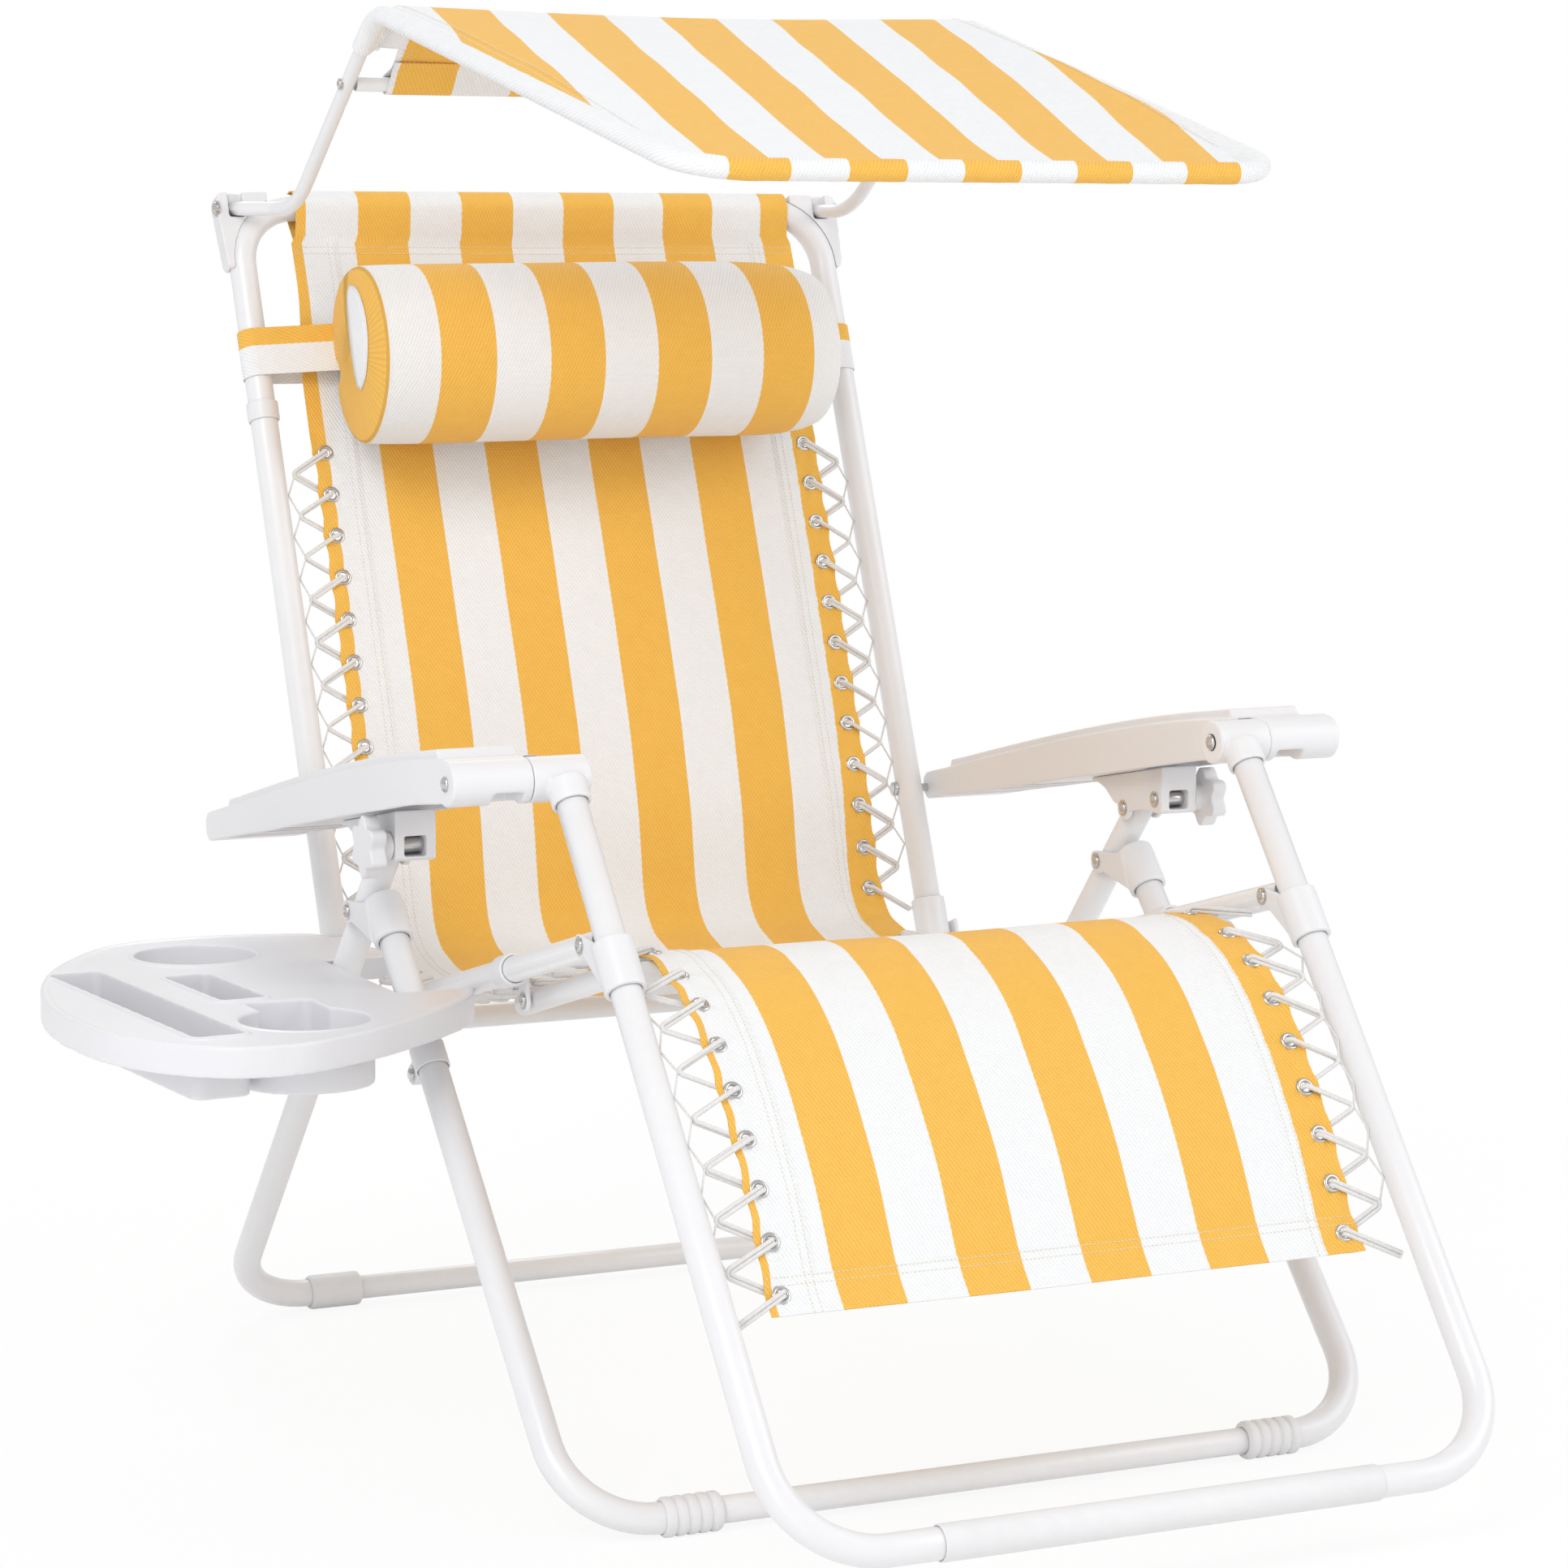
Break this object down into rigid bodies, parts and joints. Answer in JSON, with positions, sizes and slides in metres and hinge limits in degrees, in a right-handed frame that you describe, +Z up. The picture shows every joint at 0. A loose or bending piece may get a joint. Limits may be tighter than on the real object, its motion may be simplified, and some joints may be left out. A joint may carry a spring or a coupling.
{
  "type": "reclining sun lounger",
  "caption": "Folding reclining sun lounger: laced sling on a bent tube frame, padded head pillow, tilting canopy, moulded armrests and a clip-on side tray.",
  "frame": {"origin": "middle of the bounding box in plan, at floor level", "axes": "-Y is the way the sitter faces, +X is the side without the tray, +Z is up"},
  "size_m": [1.079, 1.263, 1.2075],
  "materials": {
    "white_tube": "satin white powder coat",
    "white_plastic": "satin",
    "sleeve_plastic": "satin",
    "tray_plastic": "fine moulded satin",
    "bright_steel": "polished",
    "striped_cloth": "twill woven in golden yellow and off-white stripes",
    "elastic_cord": "braided"
  },
  "bodies": {
    "base": {"rear_leg_left": "white_tube", "rear_leg_right": "white_tube", "rear_sleeve_left": "white_plastic", "rear_sleeve_right": "white_plastic", "rear_crossbar": "white_tube"},
    "front_legs": {"front_leg_left": "white_tube", "front_leg_right": "white_tube", "front_sleeve_left": "white_plastic", "front_sleeve_right": "white_plastic", "front_crossbar": "white_tube", "leg_collar_left": "white_plastic", "leg_collar_right": "white_plastic", "leg_ear_left": "white_plastic", "leg_ear_right": "white_plastic"},
    "arms": {"arm_left": "white_plastic", "arm_right": "white_plastic", "arm_bracket_left": "white_plastic", "arm_bracket_right": "white_plastic", "lock_bolt_left": "bright_steel", "lock_bolt_right": "bright_steel", "grip_bolt_left": "bright_steel", "grip_bolt_right": "bright_steel", "back_pin_left": "bright_steel", "back_pin_right": "bright_steel"},
    "knob_left": {"lock_knob_left": "white_plastic"},
    "knob_right": {"lock_knob_right": "white_plastic"},
    "back": {"back_tube": "white_tube", "back_fork_left": "white_plastic", "back_fork_right": "white_plastic", "corner_block_left": "white_plastic", "corner_block_right": "white_plastic", "canopy_bolt_left": "bright_steel", "canopy_bolt_right": "bright_steel", "back_fabric": "striped_cloth", "back_lacing_left": "elastic_cord", "back_lacing_right": "elastic_cord", "cord_clip": "white_plastic"},
    "canopy": {"canopy_tube": "white_tube", "canopy_crossbar": "white_tube", "canopy_fabric": "striped_cloth"},
    "headrest": {"pillow": "striped_cloth", "pillow_band": "striped_cloth"},
    "seat": {"seat_tube": "white_tube", "knee_bracket_left": "white_plastic", "knee_bracket_right": "white_plastic", "seat_fabric": "striped_cloth", "seat_lacing_left": "elastic_cord", "seat_lacing_right": "elastic_cord"},
    "knee": {"knee_bar": "white_tube"},
    "footrest": {"foot_tube_left": "white_tube", "foot_tube_right": "white_tube", "foot_sleeve": "sleeve_plastic", "foot_cap_left": "white_plastic", "foot_cap_right": "white_plastic", "foot_collar_left": "white_plastic", "foot_collar_right": "white_plastic", "leg_fabric": "striped_cloth", "leg_lacing_left": "elastic_cord", "leg_lacing_right": "elastic_cord"},
    "tray": {"tray": "tray_plastic"}
  },
  "joints": [
    {"name": "recline", "type": "hinge", "parent": "base", "child": "arms", "pos_m": [0.1275, 0.05792, 0.494], "axis": [-1, 0, 0], "range_deg": [0, 13]},
    {"name": "back_hinge", "type": "hinge", "parent": "arms", "child": "back", "pos_m": [0.1275, 0.40092, 0.474], "axis": [-1, 0, 0], "range_deg": [0, 24]},
    {"name": "seat_hinge", "type": "hinge", "parent": "back", "child": "seat", "pos_m": [0.1275, 0.32952, 0.3005], "axis": [-1, 0, 0], "range_deg": [-21.9, 0]},
    {"name": "footrest_hinge", "type": "hinge", "parent": "seat", "child": "footrest", "pos_m": [0.1275, -0.26628, 0.461], "axis": [-1, 0, 0], "range_deg": [0, 32.9]},
    {"name": "leg_fold", "type": "hinge", "parent": "base", "child": "front_legs", "pos_m": [0.1275, 0.10592, 0.439], "axis": [1, 0, 0], "range_deg": [0, 64]},
    {"name": "canopy_tilt", "type": "hinge", "parent": "back", "child": "canopy", "pos_m": [0.1275, 0.60892, 1.032], "axis": [-1, 0, 0], "range_deg": [0, 80]},
    {"name": "headrest_slide", "type": "slide", "parent": "back", "child": "headrest", "axis": [0, 0.3634, 0.9316], "range_m": [-0.01, 0.04]},
    {"name": "knee_bar_hinge", "type": "hinge", "parent": "seat", "child": "knee", "pos_m": [0.1275, -0.09008, 0.387], "axis": [-1, 0, 0], "range_deg": [-8, 0]},
    {"name": "tray_slide", "type": "slide", "parent": "base", "child": "tray", "axis": [-1, 0, 0], "range_m": [0, 0.08]},
    {"name": "knob_left_turn", "type": "hinge", "parent": "arms", "child": "knob_left", "pos_m": [-0.2745, 0.00192, 0.5085], "axis": [-1, 0, 0], "continuous": true},
    {"name": "knob_right_turn", "type": "hinge", "parent": "arms", "child": "knob_right", "pos_m": [0.5295, 0.00192, 0.5085], "axis": [1, 0, 0], "continuous": true}
  ],
  "couplings": [
    {"joint": "back_hinge", "follows": "recline", "ratio": 1.8462},
    {"joint": "seat_hinge", "follows": "recline", "ratio": -1.6763},
    {"joint": "footrest_hinge", "follows": "recline", "ratio": 2.5218}
  ]
}
